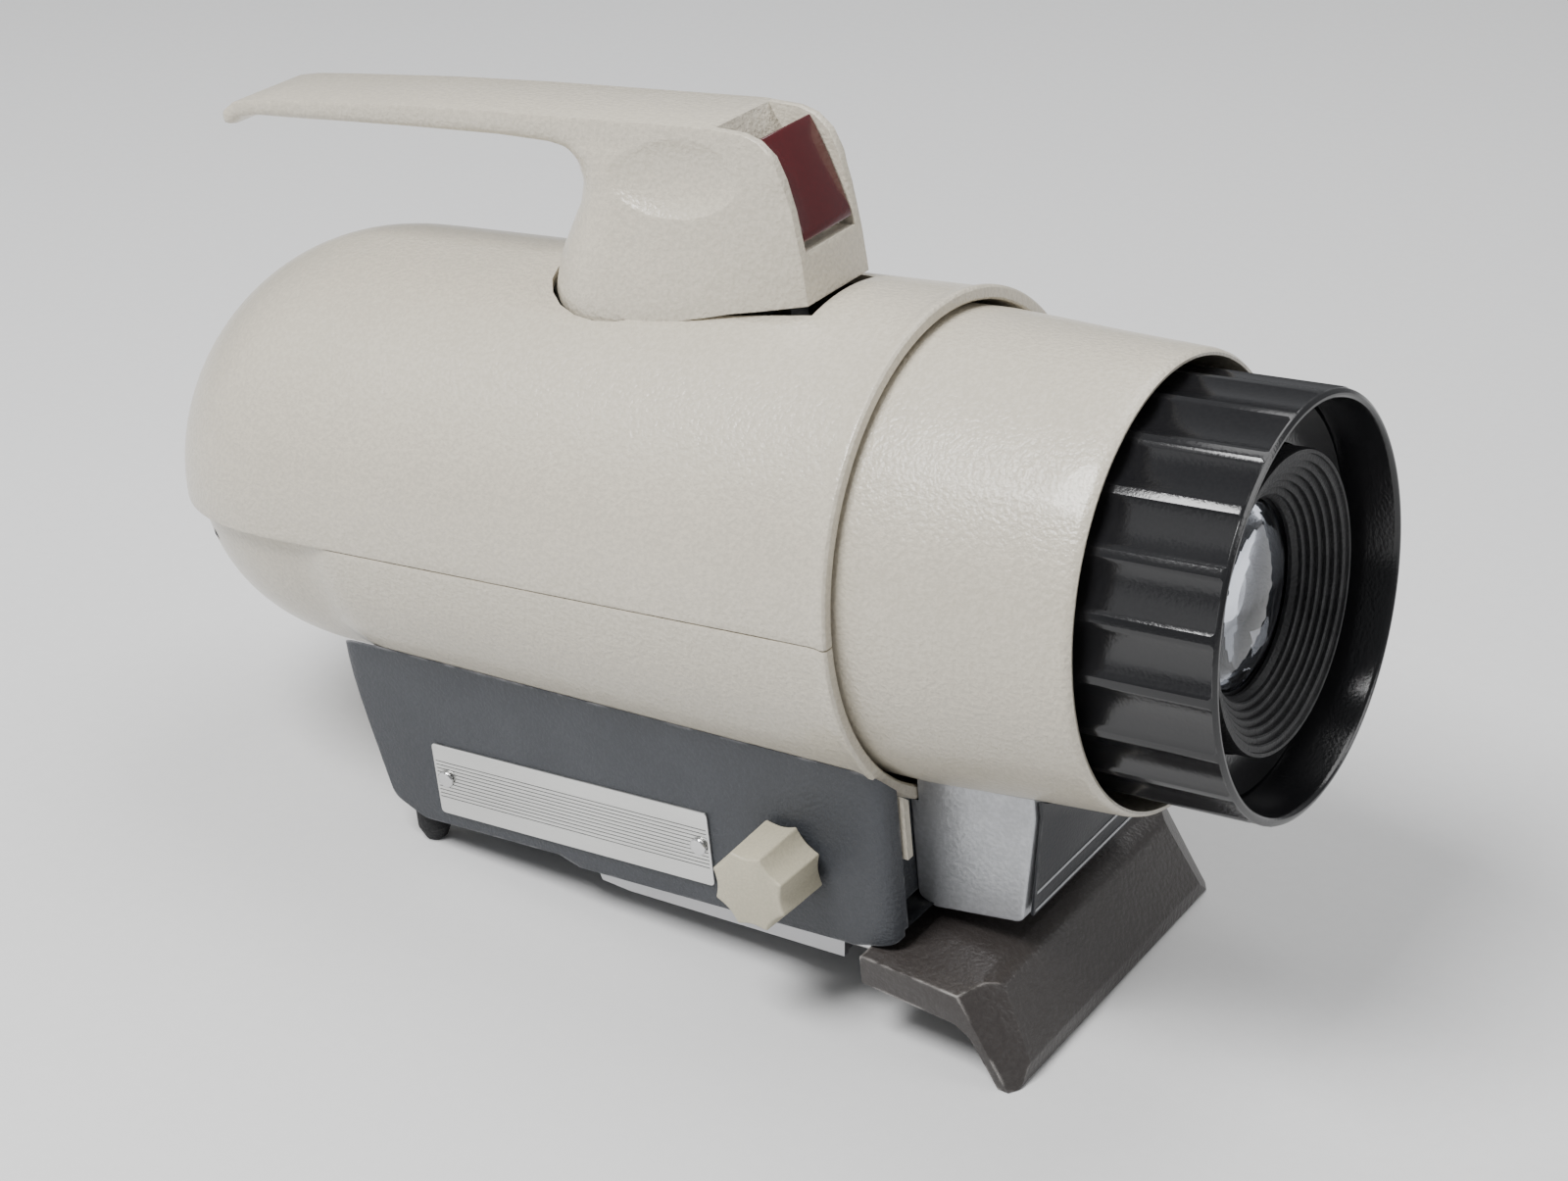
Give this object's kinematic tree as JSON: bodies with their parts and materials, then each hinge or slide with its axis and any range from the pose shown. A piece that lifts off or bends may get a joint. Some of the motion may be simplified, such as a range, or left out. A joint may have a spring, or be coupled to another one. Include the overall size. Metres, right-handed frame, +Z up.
{
  "type": "slide projector",
  "caption": "Barrel shaped slide projector with a hinged lid, carrying handle, focusing lens and a front foot that tilts it",
  "frame": {"origin": "on the table under the middle of the projector's length and width", "axes": "+X forward towards the lens, +Z up from the table, +Y to the projector's left"},
  "size_m": [0.2911, 0.116, 0.1818],
  "materials": {
    "cream_enamel": "orange peel gloss enamel",
    "base_enamel": "fine textured enamel",
    "silver_enamel": "hammered silver enamel",
    "foot_enamel": "semi gloss enamel",
    "knob_plastic": "moulded, slightly worn",
    "red_plastic": "gloss",
    "black_gloss": "gloss",
    "black_matte": "matte",
    "badge": "satin",
    "plate": "brushed",
    "steel": "satin",
    "dark_steel": "matte black",
    "brass": "satin",
    "bright": "polished",
    "cast_alloy": "as cast",
    "rubber": "matte",
    "optical_glass": "coated",
    "heat_glass": "plain",
    "ceramic": "matte",
    "mirror": "silvered"
  },
  "bodies": {
    "base": {"lower_shell": "cream_enamel", "hinge_pins": "steel", "base_housing": "base_enamel", "base_plate": "dark_steel", "base_plate_screws": "steel", "rear_feet": "rubber", "rear_foot_screws": "steel", "nameplate": "plate", "nameplate_rivets": "bright", "front_panel": "base_enamel", "pillar": "silver_enamel", "pillar_plate": "badge", "slot_strip": "cream_enamel", "optical_bed": "cast_alloy", "bed_screws": "steel", "lens_mount": "cast_alloy", "lens_tube": "cream_enamel", "tube_liner": "dark_steel", "latch_keeper": "steel", "slide_gate": "dark_steel", "gate_spring": "steel", "condenser_housing": "cast_alloy", "condenser_lenses": "optical_glass", "heat_glass": "heat_glass", "lamp": "optical_glass", "lamp_cap": "brass", "lamp_socket": "ceramic", "reflector": "mirror", "fan_motor": "dark_steel", "motor_bracket": "steel", "arm_pivot_pin": "steel", "switch_body": "black_matte", "mains_inlet": "black_matte", "inlet_pins": "brass"},
    "lid": {"upper_shell": "cream_enamel", "handle": "cream_enamel", "handle_screws": "steel", "latch_pivot_pin": "steel", "latch_spring": "steel"},
    "latch": {"latch_lever": "red_plastic", "latch_hook": "steel"},
    "lens_cell": {"lens_barrel": "black_matte", "name_ring": "black_gloss", "ribbed_baffle": "black_matte", "front_element": "optical_glass", "middle_element": "optical_glass", "rear_element": "optical_glass", "retaining_rings": "black_matte"},
    "focus_ring_body": {"focus_ring": "black_gloss"},
    "carrier": {"slide_carrier": "steel"},
    "fan": {"fan_rotor": "black_matte"},
    "elevation": {"elevation_knob": "knob_plastic", "knob_set_screw": "steel", "elevation_shaft": "steel", "elevation_cam": "brass"},
    "arm": {"elevation_arm": "steel", "foot_rods": "bright", "front_foot": "foot_enamel"},
    "switch": {"switch_knob": "knob_plastic", "switch_shaft": "steel"}
  },
  "joints": [
    {"name": "lid_hinge", "type": "hinge", "parent": "base", "child": "lid", "pos_m": [-0.11818, 0, 0.06442], "axis": [0, -1, 0], "range_deg": [0, 55]},
    {"name": "latch_pivot", "type": "hinge", "parent": "lid", "child": "latch", "pos_m": [0.02478, 0, 0.16156], "axis": [0, 1, 0], "range_deg": [0, 12], "stiffness_Nm_per_rad": 0.15},
    {"name": "focus_turn", "type": "hinge", "parent": "lens_cell", "child": "focus_ring_body", "pos_m": [0.11346, 0, 0.10298], "axis": [0.9938, 0, 0.1115], "range_deg": [-180, 240]},
    {"name": "focus_travel", "type": "slide", "parent": "base", "child": "lens_cell", "axis": [0.9938, 0, 0.1115], "range_m": [-0.006, 0.008]},
    {"name": "carrier_slide", "type": "slide", "parent": "base", "child": "carrier", "axis": [0, 1, 0], "range_m": [0, 0.052]},
    {"name": "fan_spin", "type": "hinge", "parent": "base", "child": "fan", "pos_m": [-0.09714, 0, 0.06074], "axis": [0.9938, 0, 0.1115], "continuous": true},
    {"name": "elevation_turn", "type": "hinge", "parent": "base", "child": "elevation", "pos_m": [0.04584, -0.05, 0.03572], "axis": [0, 1, 0], "range_deg": [0, 300]},
    {"name": "arm_swing", "type": "hinge", "parent": "base", "child": "arm", "pos_m": [-0.00577, 0, 0.01765], "axis": [0, 1, 0], "range_deg": [0, 6]},
    {"name": "switch_turn", "type": "hinge", "parent": "base", "child": "switch", "pos_m": [0.04584, 0.05, 0.03572], "axis": [0, 1, 0], "range_deg": [0, 60]}
  ],
  "couplings": [
    {"joint": "focus_travel", "follows": "focus_turn", "m_per_rad": 0.0019099},
    {"joint": "arm_swing", "follows": "elevation_turn", "ratio": 0.02}
  ]
}
